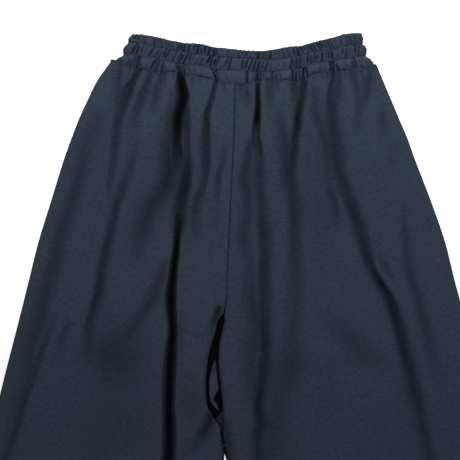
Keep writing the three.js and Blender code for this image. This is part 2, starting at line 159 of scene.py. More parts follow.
LEFT_FOLDS = [
    Fold("side trough", 1, 0.42, [
        (-174, 96, 5, 7.5, 0), (-178, 117, 6.5, 9, 2.2), (-194, 151, 7, 11.5, 4), (-200, 189, 7.5, 7.5, 5),
        (-213, 228, 7.5, 8.5, 5.5), (-227, 267, 6.5, 9, 5.5), (-235, 306, 6.5, 9, 5.5),
        (-245, 344, 8, 7, 5.5), (-254, 383, 9.5, 7.5, 5), (-265, 422, 8, 7.5, 4.5),
        (-268, 454, 9, 6.5, 3.6), (-280, 486, 9, 6.5, 2.8), (-285, 525, 9, 6.5, 2.4),
        (-299, 564, 10.5, 7.5, 2.4), (-327, 641, 11.5, 9, 2), (-359, 783, 11.5, 9, 1),
        (-378, 900, 11.5, 9, 0)]),
    Fold("side crease", 0.9, 0.36, [
        (-227, 357, 3, 2.5, 0), (-236, 383, 3, 2.5, 2.2), (-251, 422, 4, 3, 3.6), (-261, 454, 5, 3, 3.6),
        (-273, 486, 4.5, 3, 3.4), (-278, 506, 4.5, 3, 3), (-284, 525, 4.5, 3, 2.8),
        (-311, 603, 4.5, 4, 1.8), (-333, 693, 5, 4, 0)]),
    Fold("thigh crease", 0.95, 0.59, [
        (-121, 135, 5, 5, 0), (-132, 170, 6.5, 4, 3), (-137, 189, 6.5, 4, 3.8), (-151, 228, 5, 3.5, 5),
        (-161, 267, 4, 5, 5.4), (-170, 306, 4, 5.5, 5.6), (-177, 344, 3.5, 6.5, 5.8),
        (-188, 383, 3.5, 5.5, 4.6), (-187, 406, 4, 4, 2.4), (-188, 435, 4, 4, 0)]),
    Fold("hip crease", 0.8, 0.68, [
        (-119, 34, 4, 2.5, 3), (-123, 50, 4, 3, 5.5), (-127, 60, 4, 3, 6.5), (-132, 71, 7, 3.5, 6.5),
        (-135, 80, 8.5, 4, 6.5), (-148, 112, 4, 5, 4.6), (-154, 151, 3, 5, 3.8), (-159, 189, 2.5, 3.5, 3.2),
        (-162, 222, 2.5, 3.5, 0)]),
    Fold("hip hollow", 1, 0.3, [
        (-148, 42, 5, 5, 1.5), (-149, 60, 5, 5, 2.6), (-150, 83, 6.5, 6.5, 2.6), (-155, 112, 5, 5, 0)]),
    Fold("waist valley", 0.9, 0.52, [
        (-107, 42, 3, 3, 3), (-108, 58, 3, 3, 4.2), (-112, 71, 4, 4, 4.4), (-116, 80, 5, 5, 4.2),
        (-127, 112, 5, 5, 2.8), (-134, 151, 5, 5, 0)]),
    Fold("short valley", 0.9, 0.5, [
        (-92, 45, 2.5, 2.5, 3.5), (-93, 60, 3, 3, 3.5), (-99, 80, 4.5, 4, 3), (-103, 114, 4, 4, 0)]),
    Fold("shoulder of the deep pleat", 1, 0.62, [
        (-73, 65, 4, 4, 0), (-77, 89, 5, 5, 3), (-80, 114, 6.5, 7.5, 4.6), (-83, 151, 9, 10.5, 5.6),
        (-85, 189, 10.5, 17, 5.8), (-92, 207, 11.5, 17, 5.6), (-106, 228, 13, 13, 5),
        (-119, 264, 11.5, 10.5, 3.4), (-129, 308, 10.5, 10.5, 0)]),
    Fold("deep pleat, top", 0.42, 0.995, [
        (-67, 40, 2.5, 2.5, 6), (-68, 60, 4.5, 5, 12), (-65, 80, 7, 6.5, 12), (-66, 91, 7, 6.5, 12),
        (-70, 107, 6.5, 5.5, 12), (-71, 125, 6.5, 5, 11.5), (-72, 145, 5, 4.5, 9), (-71, 163, 6, 6, 5),
        (-68, 189, 6, 6, 0)]),
    Fold("deep pleat, middle", 0.8, 0.74, [
        (-61, 91, 2.5, 4, 0), (-61, 109, 4, 4, 6), (-60, 151, 4.5, 4, 4.8), (-59, 170, 4.5, 4.5, 6.5),
        (-61, 192, 5, 4.5, 8.5), (-68, 225, 7.5, 6.5, 8.5), (-70, 249, 6.5, 6, 7), (-71, 275, 5, 5, 0)]),
    Fold("deep pleat, low", 0.38, 0.995, [
        (-68, 233, 5, 5, 0), (-70, 249, 4, 3.5, 6), (-72, 267, 4, 3.5, 9.5), (-74, 289, 4.5, 4, 9.5),
        (-77, 306, 4.5, 4.5, 9.5), (-80, 344, 6, 6, 9.5), (-78.5, 383, 4.6, 5.5, 9.5),
        (-81, 422, 7, 6.5, 9.5),
        (-82, 454, 8, 6, 9.5), (-83, 486, 7, 6.5, 9.5), (-83, 525, 7.5, 7.5, 9.5), (-86, 628, 7.5, 7.5, 8),
        (-90, 732, 8.5, 8.5, 5), (-94, 887, 9, 9, 1.6), (-97, 990, 9, 9, 0)]),
    Fold("side of the deep pleat", 1, 0.44, [
        (-84, 286, 5, 4, 0), (-90, 308, 6.5, 4, 2.4), (-104, 344, 7.5, 6.5, 3), (-128, 383, 9, 7.5, 2.4),
        (-146, 411, 11.5, 10.5, 0)]),
    Fold("crotch gather", 0.9, 0.68, [
        (-19, 42, 2, 2, 5), (-21.3, 60, 1.6, 1.8, 6.6), (-26, 80, 2.2, 1.8, 6), (-33, 112, 4, 2.4, 7.5),
        (-35, 151, 5.5, 4, 6.5), (-35, 187, 4.5, 2.5, 5.4), (-48, 228, 5, 5, 4.2), (-50, 264, 6.5, 6.5, 2),
        (-53, 287, 6.5, 6.5, 0)]),
    Fold("fine crease", 0.9, 0.46, [
        (-9, 138, 2.5, 2.5, 0), (-11, 151, 3, 3, 1.6), (-15, 174, 2.5, 2.5, 2.6), (-19, 189, 3, 3, 3.4),
        (-21, 222, 3, 3, 1.2), (-22, 247, 4, 4, 0.3), (-23, 267, 4, 4, 0)]),
    Fold("outer wrinkle", 0.9, 0.28, [
        (-208, 368, 4, 4, 0), (-217, 386, 4, 4, 2.2), (-223, 406, 4.5, 5, 1.6), (-230, 432, 5, 5, 0)]),
    Fold("fold below the crotch", 1, 0.78, [
        (-25, 476, 4, 4, 0), (-26, 485, 4, 4, 3), (-29, 495, 5, 5, 5.8), (-32, 508, 5.5, 5.5, 6.6),
        (-37, 517, 6.5, 6.5, 5.2), (-45, 528, 7.5, 7.5, 3.4), (-55, 541, 9, 7.5, 1.6),
        (-71, 564, 9, 7.5, 0)]),
    Fold("hollow above the crotch", 0.8, 0.76, [
        (-17.5, 349, 2.5, 2.5, 0), (-18.5, 356, 3.5, 3, 3.2), (-19.5, 362, 4, 3.5, 4.4),
        (-22, 370, 4, 3.5, 3.6), (-25.5, 380, 4.5, 4, 2.2), (-30, 394, 4, 4, 0.8), (-35, 411, 4, 4, 0)]),
    Fold("hollow of the left thigh", 1, 0.14, [
        (-156, 344, 13, 13, 0), (-161, 383, 15.5, 20.5, 1.2), (-164, 422, 20.5, 20.5, 1.4),
        (-156, 460, 18, 20.5, 0.6), (-146, 499, 18, 20.5, 0)]),
]
RIGHT_FOLDS = [
    Fold("front pleat, top", 0.45, 0.995, [
        (32, 47, 3, 3, 3), (32, 60, 3, 3, 4.6), (32, 68, 2.5, 2.5, 9), (32, 80, 2.5, 2.5, 11.5),
        (32, 94, 3, 3, 12), (31, 112, 3.8, 3.8, 12.4), (30, 126, 4, 4, 8), (30, 143, 4, 4, 3.5),
        (32, 163, 4, 4, 0)]),
    Fold("front pleat", 0.95, 0.7, [
        (32, 132, 4, 4, 0), (34, 151, 5.5, 3, 5), (34, 189, 6, 5.5, 4.8), (37, 228, 5.5, 6.5, 5.4),
        (39, 267, 4.5, 7.5, 6.4), (40, 306, 4.5, 6, 6.4), (39, 344, 4.5, 7.5, 6.2), (40, 383, 5, 6.5, 6.4),
        (41, 422, 5.5, 6, 7.4), (37, 454, 6.5, 8, 7.2), (32, 486, 5, 6, 7.4), (34, 506, 5, 8.5, 6.4),
        (32, 525, 6.5, 7.5, 5.6), (32, 538, 6.5, 7.5, 5.2), (30, 603, 7.5, 9, 3.8), (38, 706, 9, 10.5, 2.2),
        (56, 861, 10.5, 10.5, 0.8), (61, 938, 10.5, 10.5, 0)]),
    Fold("front pleat, branch", 1, 0.52, [
        (26, 130, 4, 4, 0), (22, 151, 4.5, 4, 4.6), (16, 189, 6.5, 5.5, 4.8), (20, 228, 7.5, 5, 3.8),
        (14, 267, 7.5, 7.5, 3.2), (22, 306, 9, 7.5, 2.6), (25, 344, 11.5, 5, 3.4), (30, 383, 11.5, 5, 3.4),
        (25, 422, 10.5, 5, 3.2), (23, 455, 7.5, 5, 2.2), (22, 486, 6.5, 5, 0)]),
    Fold("front pleat, far side", 1, 0.3, [
        (71, 409, 10.5, 10.5, 0), (66, 454, 15.5, 15.5, 2.4), (57, 489, 15.5, 15.5, 2.8),
        (53, 538, 11.5, 15.5, 2.6), (50, 628, 11.5, 15.5, 1.4), (56, 732, 13, 15.5, 0)]),
    Fold("middle gather", 0.8, 0.84, [
        (93, 34, 3, 2.5, 6), (93, 60, 3.5, 2.5, 8), (90, 80, 4.5, 3, 8), (84, 112, 4, 3.5, 9.5),
        (79, 151, 4, 3.5, 7), (76, 189, 4.5, 4.5, 4.4), (77, 228, 4.5, 9, 4.8), (81, 267, 6.5, 4.5, 5),
        (81, 306, 7.5, 7.5, 3.4), (79, 357, 9.5, 9.5, 2.4), (75, 441, 10.5, 10.5, 2),
        (76, 476, 10.5, 10.5, 0)]),
    Fold("middle gather, left", 0.9, 0.62, [
        (80, 40, 3, 3, 4), (79, 60, 3.5, 3, 6), (80, 80, 3.5, 3, 5), (76, 107, 4, 4, 0)]),
    Fold("thigh pleat", 1, 0.52, [
        (61, 89, 4, 4, 0), (61, 114, 5, 4.5, 2.6), (68, 151, 7, 5.5, 5), (70, 187, 7, 4.5, 4.8),
        (71, 225, 6.5, 5, 0)]),
    Fold("long side pleat", 0.9, 0.79, [
        (129, 32, 3, 3, 4), (129, 60, 3, 3, 5.6), (125, 80, 3, 3.5, 5.2), (128, 112, 7, 6, 6),
        (132, 151, 6, 8.5, 6), (139.5, 189, 6.5, 7, 5.8), (153, 228, 5.5, 8, 6.8), (166, 267, 6, 7.5, 7.2),
        (179, 306, 5.5, 4.5, 7.2), (202, 344, 6.5, 5, 9), (213, 383, 4.5, 7, 8), (223, 422, 5, 7, 7.2),
        (232, 454, 7.5, 6.5, 6.6), (241, 486, 9.5, 5.5, 5.2), (248, 525, 7.5, 5.5, 4.6),
        (267, 603, 10.5, 9, 3.4), (291, 770, 10.5, 10.5, 1.4), (306, 900, 10.5, 10.5, 0)]),
    Fold("waist hollow", 0.95, 0.46, [
        (136, 37, 3, 3, 2), (136, 60, 3, 3, 4.4), (135, 81, 4.5, 4.5, 4), (132, 109, 5, 5, 0)]),
    Fold("side crease", 0.95, 0.36, [
        (220, 213, 4, 4, 0), (222, 244, 5, 5, 2), (227, 306, 4.5, 6.5, 3.2), (238, 344, 4.5, 5.5, 3.2),
        (248, 383, 5.5, 6.5, 2.6), (260, 427, 6.5, 6.5, 1.7), (269, 468, 6.5, 6.5, 0)]),
    Fold("middle hollow", 1, 0.42, [
        (106, 65, 4, 4, 0), (106, 80, 5, 5, 2.4), (108, 109, 5.5, 5.5, 3), (121, 151, 6, 6, 3),
        (124, 196, 6.5, 6.5, 1.8), (132, 228, 4, 4, 3.4), (131, 262, 5, 5, 0)]),
    Fold("hip valley", 0.9, 0.42, [
        (154, 42, 3, 3.5, 3), (157, 60, 3.5, 4, 3.4), (162, 80, 4.5, 4.5, 2.6), (162, 112, 4, 4, 2),
        (160, 138, 4, 4, 0)]),
    Fold("side valley", 0.9, 0.42, [
        (180, 47, 4, 4, 1), (176, 60, 5, 5, 2.8), (173, 80, 4.5, 4.5, 2.8), (164, 107, 4, 4, 0)]),
    Fold("edge valley", 0.9, 0.26, [
        (191, 86, 4, 4, 0), (194, 113, 5, 5, 2), (198, 151, 5, 5, 0)]),
    Fold("side hollow", 1, 0.12, [
        (217, 135, 6.5, 6.5, 0), (212, 153, 6.5, 6.5, 1.2), (195, 205, 6.5, 6.5, 0)]),
    Fold("far edge of the side pleat", 0.9, 0.26, [
        (186, 282, 4, 5, 0), (196, 306, 4, 5, 2.6), (209, 329, 4, 5, 0)]),
    Fold("small valley", 0.9, 0.36, [
        (50, 50, 2.5, 2.5, 2), (50, 63, 3, 3, 3), (48, 81, 4, 4, 2.6), (47, 107, 4, 4, 0)]),
    Fold("small valley, right", 0.9, 0.34, [
        (59, 50, 2.5, 2.5, 2), (58, 63, 2.5, 2.5, 3), (56, 81, 2.5, 2.5, 0)]),
    Fold("small valley, left", 0.9, 0.3, [
        (9, 60, 2.5, 2.5, 0), (16, 80, 5.5, 4, 2.2), (19, 107, 4, 4, 0)]),
    Fold("edge below the crotch", 1, 0.62, [
        (-11, 494, 2.5, 3, 0), (-10, 507, 2.5, 4.5, 2.6), (-8, 525, 4, 4.5, 3.4), (-6, 544, 4, 5, 2.8),
        (1, 590, 5, 6.5, 0)]),
]
print("long folds:", len(LEFT_FOLDS) + len(RIGHT_FOLDS))

# %% [markdown]
# Short gathers and dimples
# Between the long folds the seam holds many small puckers, which die away a hand's breadth down. Here
# and there the cloth also sinks in a shallow dimple with no direction.

# %% Small puckers below the waist seam, and dimples
Gather = namedtuple("Gather", "x drift half depth long")
GATHERS = [
    Gather(-146, -4, 3, 1.6, 50), Gather(-134, -6, 2.2, 2.5, 34), Gather(-120, -2, 2.2, 1.2, 16),
    Gather(-101, -3, 2.2, 1, 14), Gather(-88, -2, 2, 2.2, 22), Gather(-77, -1, 1.8, 1.6, 16),
    Gather(-52, 0, 2, 1.4, 20), Gather(-43, 0, 2, 1.2, 18), Gather(-33, -1, 2, 0.4, 12),
    Gather(-11, 0, 2, 1.6, 18), Gather(10, 0, 2, 1.6, 20), Gather(17.5, 1, 1.8, 2.8, 20),
    Gather(44, 1, 2, 1.6, 22), Gather(51, 1, 2.2, 0.8, 20), Gather(57, 2, 2, 0.6, 16),
    Gather(68, 1, 2, 0.2, 12), Gather(105, 2, 2.2, 1.8, 20), Gather(115, 2, 2, 1.6, 18),
    Gather(121, 2, 2.4, 2.4, 24), Gather(144, 3, 2.2, 1.8, 20), Gather(150, 4, 2.2, 1.4, 18),
    Gather(166, 5, 2.2, 1.6, 26), Gather(175, 5, 2, 1.2, 22),
]
# The last field of a dimple is painted shade: how far the colour is darkened at its bottom.
Dimple = namedtuple("Dimple", "x down long wide turn depth dark")
DIMPLES = [
    Dimple(-150, 421, 36, 24, 0, 3.0, 0.4), Dimple(-142, 452, 40, 14, 0, 1.0, 0.12),
    Dimple(152, 400, 42, 14, 44, 2.4, 0.22), Dimple(90, 432, 34, 16, 20, 1.4, 0.1),
    Dimple(108, 228, 96, 26, 84, 1.2, 0.18), Dimple(-33, 230, 26, 16, 88, 0.4, 0.08),
    Dimple(-140, 505, 70, 42, 0, 0.6, 0.14), Dimple(-54, 478, 26, 18, 60, 0.8, 0.22),
    Dimple(-56, 389, 16, 3, 20, 0.9, 0.12), Dimple(-62, 445, 9, 3, 27, 0.8, 0.1),
    Dimple(120, 480, 40, 16, -70, 0.9, 0.08), Dimple(-180, 560, 46, 15, -74, 1.2, 0.1),
    Dimple(-215, 650, 60, 16, -78, 1.0, 0.1), Dimple(190, 640, 60, 18, 76, 1.0, 0.1),
    Dimple(130, 760, 50, 14, 80, 0.8, 0.08), Dimple(-150, 790, 50, 14, -82, 0.8, 0.08),
    Dimple(260, 800, 46, 15, 76, 0.7, 0.08), Dimple(167, 424, 32, 13, 4, 0.6, 0.12),
    Dimple(-17, 500, 6, 4.5, 0, 1.4, 0.5), Dimple(-68, 385, 34, 5, 90, 0.5, 0.16),
]

print("gathers:", len(GATHERS), "dimples:", len(DIMPLES))


# %% The height of the front's upper face
def fold_shape(fold, x, down):
    """Depth of a fold and its painted shade at each point."""
    across, downs, left, right, depth = np.array(fold.path, float).T
    now = np.clip(curve(downs, depth, down), 0, depth.max())
    own = 7 * len(fold.name) + np.zeros_like(x)
    offset = x - curve(downs, across, down) + 0.6 * soft_noise(down, own, 10, 1, 13)
    reach = np.where(offset < 0, curve(downs, left, down), curve(downs, right, down))
    u = np.abs(offset / np.clip(reach, 1, None))
    trough = 0.5 ** (u ** (2 / fold.soft))
    shade = 0.5 ** (u ** (1.5 / fold.soft))
    uneven = 1 + min(0.12, 0.5 * (1 - fold.dark)) * soft_noise(down, own + 3, 16, 1, 17)
    return now * trough, np.clip(fold.dark * uneven, 0, 0.995) * shade * (now / depth.max()) ** 0.8


def seam_down(x):
    return curve(BAND_LINES["x"], BAND_LINES["seam"], x)


def outward_share(x):
    """0 at a hem's inner corner and 1 at its outer one."""
    return np.clip((np.abs(x) - HEM_INNER) / (HEM_REACH - HEM_INNER), 0, 1)


def hem_distance(x, down):
    return LENGTH - HEM_LIFT * outward_share(x) - down


def rim(inward, radius):
    """A quarter round from 0 at an edge to 1 at that radius from it."""
    return np.sqrt(1 - (1 - np.clip(inward / radius, 0, 1)) ** 2)


def folded(x, down):
    """Height of the front with every fold, gather and dimple in it, and the light that reaches it. The
    light is painted into the cloth's colour: what it lacks is painted shade.
    """
    high = row_of(LOFT, "high", down)
    high = high + 0.5 * soft_noise(x, down, 34, 120, 3) + 0.22 * soft_noise(x, down, 13, 42, 5)
    high = high + 0.07 * soft_noise(x, down, 5, 9, 7)
    light = np.ones_like(high)
    for fold in LEFT_FOLDS + RIGHT_FOLDS:
        depth, dark = fold_shape(fold, x, down)
        high = high - depth
        light = light * (1 - dark)
    below = down - seam_down(x)
    for g in GATHERS:
        fade = 1 - ease(0, g.long * 1.3, below)
        u = (x - g.x - g.drift * below / g.long) / g.half
        high = high - g.depth * fade * np.exp(-(u**2))
        # Painted shade in each gather's valley, growing with the gather's depth.
        light = light * (1 - min(0.25, 0.17 * g.depth) * fade * np.exp(-(u**2)))
    for d in DIMPLES:
        turn = math.radians(d.turn)
        along = (x - d.x) * math.cos(turn) + (down - d.down) * math.sin(turn)
        over = (down - d.down) * math.cos(turn) - (x - d.x) * math.sin(turn)
        sunk = np.exp(-((along / d.long) ** 2) - (over / d.wide) ** 2)
        high = high - d.depth * sunk
        # Painted shade at each dimple's bottom.
        light = light * (1 - d.dark * sunk)
    return high, light


# %% The edges of the front panels
SIDE_ROLL, INNER_ROLL = 5, 6  # radius of the turned cloth at the side and at the inner seam
SIDE_LOW = 0.42  # share of the full height that the cloth has beside its side seam
FLAT_FROM = 50  # from here inwards the front has its full height
# Painted shade darkens the colour along the centre seam, and more where the opening begins.
SEAM_SHADE = 0.42  # light that the centre seam takes
OPENING_SHADE = 0.5  # and what it takes more where the opening begins
TOUCH = (500, 506)  # where the inner seams start to touch, below the opening
PART = (548, 600)  # and where they part again
LOWEST = CLOTH * 2 + SLACK  # the front's upper face where it lies down on the back


def front_surface(x, down, side):
    """Height of a front panel's upper face and its painted shade, in millimetres and from 0 to 1."""
    high, light = folded(x, down)
    inward = np.abs(x - row_of(SIDE_SEAMS, side, down))
    from_seam = np.abs(x - row_of(FRONT_INNER, side, down))
    below = down - seam_down(x)
    side_roll = rim(inward, SIDE_ROLL) * (SIDE_LOW + (1 - SIDE_LOW) * ease(0, FLAT_FROM, inward))
    opened = ease(CROTCH - 14, CROTCH + 26, down)
    seam_roll = 1 - 0.1 * (1 - ease(0, 2.2, from_seam))
    roll = side_roll * (opened * rim(from_seam, INNER_ROLL) + (1 - opened) * seam_roll)
    # Painted shade along the centre seam above the crotch, stronger where the opening begins.
    seam_painted_shade = SEAM_SHADE + OPENING_SHADE * ease(CROTCH - 26, CROTCH - 6, down)
    light = light * (1 - seam_painted_shade * (1 - opened) * (1 - ease(0.2, 0.6 + 2 * seam_painted_shade, from_seam)))
    # Painted shade where the two inner seams touch below the opening.
    touching = ease(*TOUCH, down) * (1 - ease(*PART, down))
    light = light * (1 - 0.9 * touching * (1 - ease(1.2, 3.2, from_seam)))
    # Painted shade on the leg just below the waist seam, under the band's edge.
    light = light * (1 - 0.14 * (1 - ease(0, 1.8, below)))
    tuck = 0.12 * (1 - ease(0, 2, below))
    # The groove along the turned-up hem places the stitches, but the panel's rows are too far apart for it
    turned = 0.35 * ease(2, 0, np.abs(hem_distance(x, down) - HEM_TURN) - 1.2)
    room = np.log1p(np.exp(np.clip(high - LOWEST, -30, 30)))
    high = LOWEST + room * roll - tuck - turned
    return np.maximum(high, LOWEST), 1 - light


# %% [markdown]
# The leg panels
# A real panel is cut flat and gathered into the waistband. A grid does the same job here: its rows
# follow the waist seam at the top and the slanted hem at the bottom, and its columns run down the leg.
# The columns crowd round the steepest folds, so that their walls stay crisp. Solidify then gives the
# sheet its thickness, as a maker would think of it: form first, cloth second.

# %% Rows and columns of a panel
FLANK = 13  # how far on each side of a steep fold its own columns reach
ROW_STOPS = [125, 345, 480, 520]  # where the spacing of the rows changes
STEEP_PATHS = {
    "left": [
        [(-64, 60), (-64, 100), (-66, 150), (-66, 220), (-72, 270), (-80, 345), (-83, 510), (-95, 933)],
    ],
    "right": [
        [(128, 50), (131, 124), (141, 182), (165, 247), (190, 320), (223, 403), (254, 548), (318, 933)],
        [(33, 50), (32, 130), (41, 221), (43, 318), (42, 422), (32, 513), (36, 640), (90, 933)],
    ],
}


def panel_rows(first, counts):
    """Row marks from the waist seam to the hem, closest at the waist and beside the opening."""
    stops = [first] + ROW_STOPS + [LENGTH]
    pieces = [np.linspace(a, b, n, endpoint=False) for a, b, n in zip(stops, stops[1:], counts)]
    return np.concatenate(pieces + [[LENGTH]])


def row_down(row, x):
    """Where a row lies at x: it follows the waist seam at the top and the hem at the bottom."""
    waist = 1 - ease(SEAM_LINE, 250, row)
    hem = ease(ROW_STOPS[-1], LENGTH, row)
    return row + (seam_down(x) - SEAM_LINE) * waist - HEM_LIFT * outward_share(x) * hem


def column_stops(side, down):
    """Places across of the outer edge, of both flanks of each steep fold and of the inner edge."""
    outer = row_of(SIDE_SEAMS, side, down)
    inner = row_of(FRONT_INNER, side, down)
    towards = 1 if side == "left" else -1
    stops = [outer]
    for path in STEEP_PATHS[side]:
        middle = curve([row[1] for row in path], [row[0] for row in path], down)
        stops += [middle - towards * FLANK, middle + towards * FLANK]
    stops.append(inner)
    for k in range(len(stops) - 2, 0, -1):
        limit = stops[k + 1] - towards * 5
        stops[k] = np.minimum(stops[k], limit) if towards > 0 else np.maximum(stops[k], limit)
    return stops


def panel_grid(side, rows, counts):
    """x and down of every grid point. A row slides with x, so both are found in a few passes."""
    stretch = np.concatenate([np.full(n, k) for k, n in enumerate(counts)] + [[len(counts) - 1]])
    share = np.concatenate([np.arange(n) / n for n in counts] + [[1]])
    down = np.repeat(rows[:, None], len(stretch), axis=1)
    for _ in range(4):
        stops = np.stack(column_stops(side, down))
        x = np.zeros_like(down)
        for k in range(len(counts)):
            pick = stretch == k
            x[:, pick] = stops[k][:, pick] * (1 - share[pick]) + stops[k + 1][:, pick] * share[pick]
        down = row_down(rows[:, None], x)
    return x, down


# %% Turn a grid into cloth
def grid_faces(rows, columns, wrap_rows=False, wrap_columns=False):
    i = np.arange(rows if wrap_rows else rows - 1)[:, None]
    j = np.arange(columns if wrap_columns else columns - 1)[None, :]
    a, b = i * columns, ((i + 1) % rows) * columns
    c, d = j, (j + 1) % columns
    return np.stack([a + c, b + c, b + d, a + d], axis=-1).reshape(-1, 4)


def cloth_mesh(name, x, down, high, dark, faces):
    """A mesh with the cloth's own coordinates as its UV map and the painted shade of folds, seams and the
    opening as an attribute.
    """
    points = np.stack([x, LENGTH / 2 - down, high], axis=-1).reshape(-1, 3) * MM
    mesh = bpy.data.meshes.new(name)
    mesh.from_pydata(points.tolist(), [], faces.tolist())
    weave = mesh.uv_layers.new(name="weave")
    across = np.ravel(x)
    along = np.ravel(down) + 0.08 * np.abs(across - MIDDLE)
    corners = np.array([loop.vertex_index for loop in mesh.loops])
    weave.data.foreach_set("uv", np.stack([across[corners], along[corners]], axis=-1).ravel() * MM)
    # The attribute named depth holds painted shade, from 0 to 1: how far the cloth's colour is darkened.
    depth = mesh.attributes.new("depth", "FLOAT", "POINT")
    depth.data.foreach_set("value", np.ravel(dark).astype(np.float32))
    mesh.validate()
    piece = bpy.data.objects.new(name, mesh)
    bpy.context.collection.objects.link(piece)
    mesh.shade_smooth()
    return piece


def finish_with(piece, kind, **settings):
    """Adds a modifier and applies it."""
    bpy.ops.object.select_all(action="DESELECT")
    piece.select_set(True)
    bpy.context.view_layer.objects.active = piece
    modifier = piece.modifiers.new(kind.title(), kind)
    for key, value in settings.items():
        setattr(modifier, key, value)
    bpy.ops.object.modifier_apply(modifier=modifier.name)


def triangles(piece):
    piece.data.calc_loop_triangles()
    return len(piece.data.loop_triangles)


def check_outward(piece):
    """Turns a closed shell's faces outwards if its volume comes out negative."""
    mesh = piece.data
    mesh.calc_loop_triangles()
    corner = np.array([v.co for v in mesh.vertices])
    t = np.array([tri.vertices for tri in mesh.loop_triangles])
    volume = np.einsum("ij,ij->i", corner[t[:, 0]], np.cross(corner[t[:, 1]], corner[t[:, 2]])).sum() / 6
    if volume < 0:
        mesh.flip_normals()
    return piece


def sheet_area(x, down):
    """Flat area of a grid, in square metres."""
    p = np.stack([x, down], axis=-1) * MM
    across = p[1:, 1:] - p[:-1, :-1]
    along = p[1:, :-1] - p[:-1, 1:]
    return float(np.abs(across[..., 0] * along[..., 1] - across[..., 1] * along[..., 0]).sum() / 2)


# %% The two front panels
FRONT_COUNTS = {"left": [124, 52, 54], "right": [92, 36, 34, 50, 18]}
FRONT_ROW_COUNTS = [40, 52, 52, 24, 38]
FIRST_ROW = SEAM_LINE - 2.5  # a panel's top edge runs this far into the waistband's lower edge


def sewn_panel(name, x, down, high, dark):
    """A sheet of cloth on a panel's grid, with its upper face at that height."""
    faces = grid_faces(*x.shape)
    if x[0, 0] > x[0, -1]:
        faces = faces[:, ::-1]
    piece = cloth_mesh(name, x, down, high, dark, faces)
    finish_with(piece, "SOLIDIFY", thickness=CLOTH * MM, offset=-1, use_even_offset=False)
    print(name, triangles(piece), "triangles,", round(sheet_area(x, down), 3), "square metres flat")
    return piece


def front_panel(name, side):
    x, down = panel_grid(side, panel_rows(FIRST_ROW, FRONT_ROW_COUNTS), FRONT_COUNTS[side])
    high, dark = front_surface(x, down, side)
    return sewn_panel(name, x, down, high, dark)


right_leg = front_panel("front_right_cloth", "left")
left_leg = front_panel("front_left_cloth", "right")

# %% [markdown]
# The back panels
# The back lies on the table, so its underside is flat but for a few low tunnels where the cloth has
# lifted into a fold. A tunnel rises only as far as the front above it leaves room. Below the crotch
# the fronts part, and the back shows between them: a pale lip of cloth that has risen into the opening,
# and at its foot a raised fold that crosses it, darkened with painted shade. The rest of the opening
# lies in deep shade, painted into the cloth's colour. At the opening's foot the raised cloth cuts a
# little into the rims of the fronts.

# %% The two back panels
BACK_ROW_COUNTS = [16, 44, 96, 44, 56]
SEAM_COLUMNS_FROM = 0.89  # past this share of the panel's width the columns crowd towards the inner seam
TUNNEL_FLOOR = 0.25  # the table takes this much off a tunnel's foot
LIP_RISE = 4.2
OPENING_MIDDLE = -19
BRIDGE_CORNER = (-22.7, 498.8)  # x and down of the lowest point of the dark opening
BRIDGE_SLOPE = (0.73, 0.68)  # the way across the edge of the fold at its foot
# Two spots of painted shade on the lip.
LIP_PAINTED_SHADES = [(-25.2, 434, 9), (-25, 476, 5)]  # x, down and squared size of the lip's two darker spots
BACK_TUNNELS = {  # x at the waist, the crotch and the hem, half width, rise, and how far down it runs
    "left": [(-128, -214, -330, 9, 2.6, 620), (-96, -150, -246, 8, 3.2, 480), (-44, -57, -70, 7, 3.2, 760),
             (-10, -28, -60, 5, 2.2, 260)],
    "right": [(12, 12, 48, 6, 3, 560), (66, 100, 170, 8, 2.8, 420), (104, 176, 262, 8, 3.4, 700),
              (146, 248, 344, 8, 2.4, 500)],
}
LIP = {  # the edges of the lip of the back's cloth that shows in the opening
    "down": [420, 426, 430, 439, 450, 461, 468.5, 474, 477.5, 481, 485.5, 490],
    "left": [-23.5, -25.2, -27, -29, -31, -31, -30.6, -29.7, -28.9, -26.3, -21.8, -17.4],
    "right": [-23.5, -22, -21.3, -20.3, -19.2, -18.6, -22.5, -24.4, -21, -19.5, -18.2, -17.4],
}


def lip_of(x, down):
    """How much of the lip there is at each point, from 0 to 1."""
    inside = np.minimum(x - row_of(LIP, "left", down), row_of(LIP, "right", down) - x)
    return ease(-0.3, 1.3, inside) * ease(419, 423, down) * (1 - ease(488, 491, down))


def bridge_of(x, down):
    """How much there is of the raised fold that crosses the foot of the opening, from 0 to 1. It is
    darkened with painted shade.
    """
    past = BRIDGE_SLOPE[0] * (x - BRIDGE_CORNER[0]) + BRIDGE_SLOPE[1] * (down - BRIDGE_CORNER[1])
    across = ease(-24, -21, x) * (1 - ease(-12, -10, x))
    return across * ease(-0.6, 0.9, past) * ease(484, 487, down) * (1 - ease(510, 520, down))


def in_crotch(x, down):
    """1 where the opening below the crotch shows the back. The back there is darkened with painted shade,
    all but the lip of cloth in it.
    """
    along = ease(CROTCH - 30, CROTCH - 8, down) * (1 - ease(510, 545, down))
    return along * (1 - ease(24, 40, np.abs(x - OPENING_MIDDLE)))


def back_grid(side):
    """x and down of every grid point of a back panel, and the x of its side seam."""
    rows = panel_rows(FIRST_ROW, BACK_ROW_COUNTS)[:, None]
    share = np.concatenate([np.linspace(0, SEAM_COLUMNS_FROM, 64, endpoint=False),
                            np.linspace(SEAM_COLUMNS_FROM, 1, 86)])[None, :]
    down = np.repeat(rows, share.shape[1], axis=1)
    for _ in range(4):
        outer = row_of(SIDE_SEAMS, side, down)
        x = outer * (1 - share) + row_of(BACK_INNER, side, down) * share
        down = row_down(rows, x)
    return x, down, outer


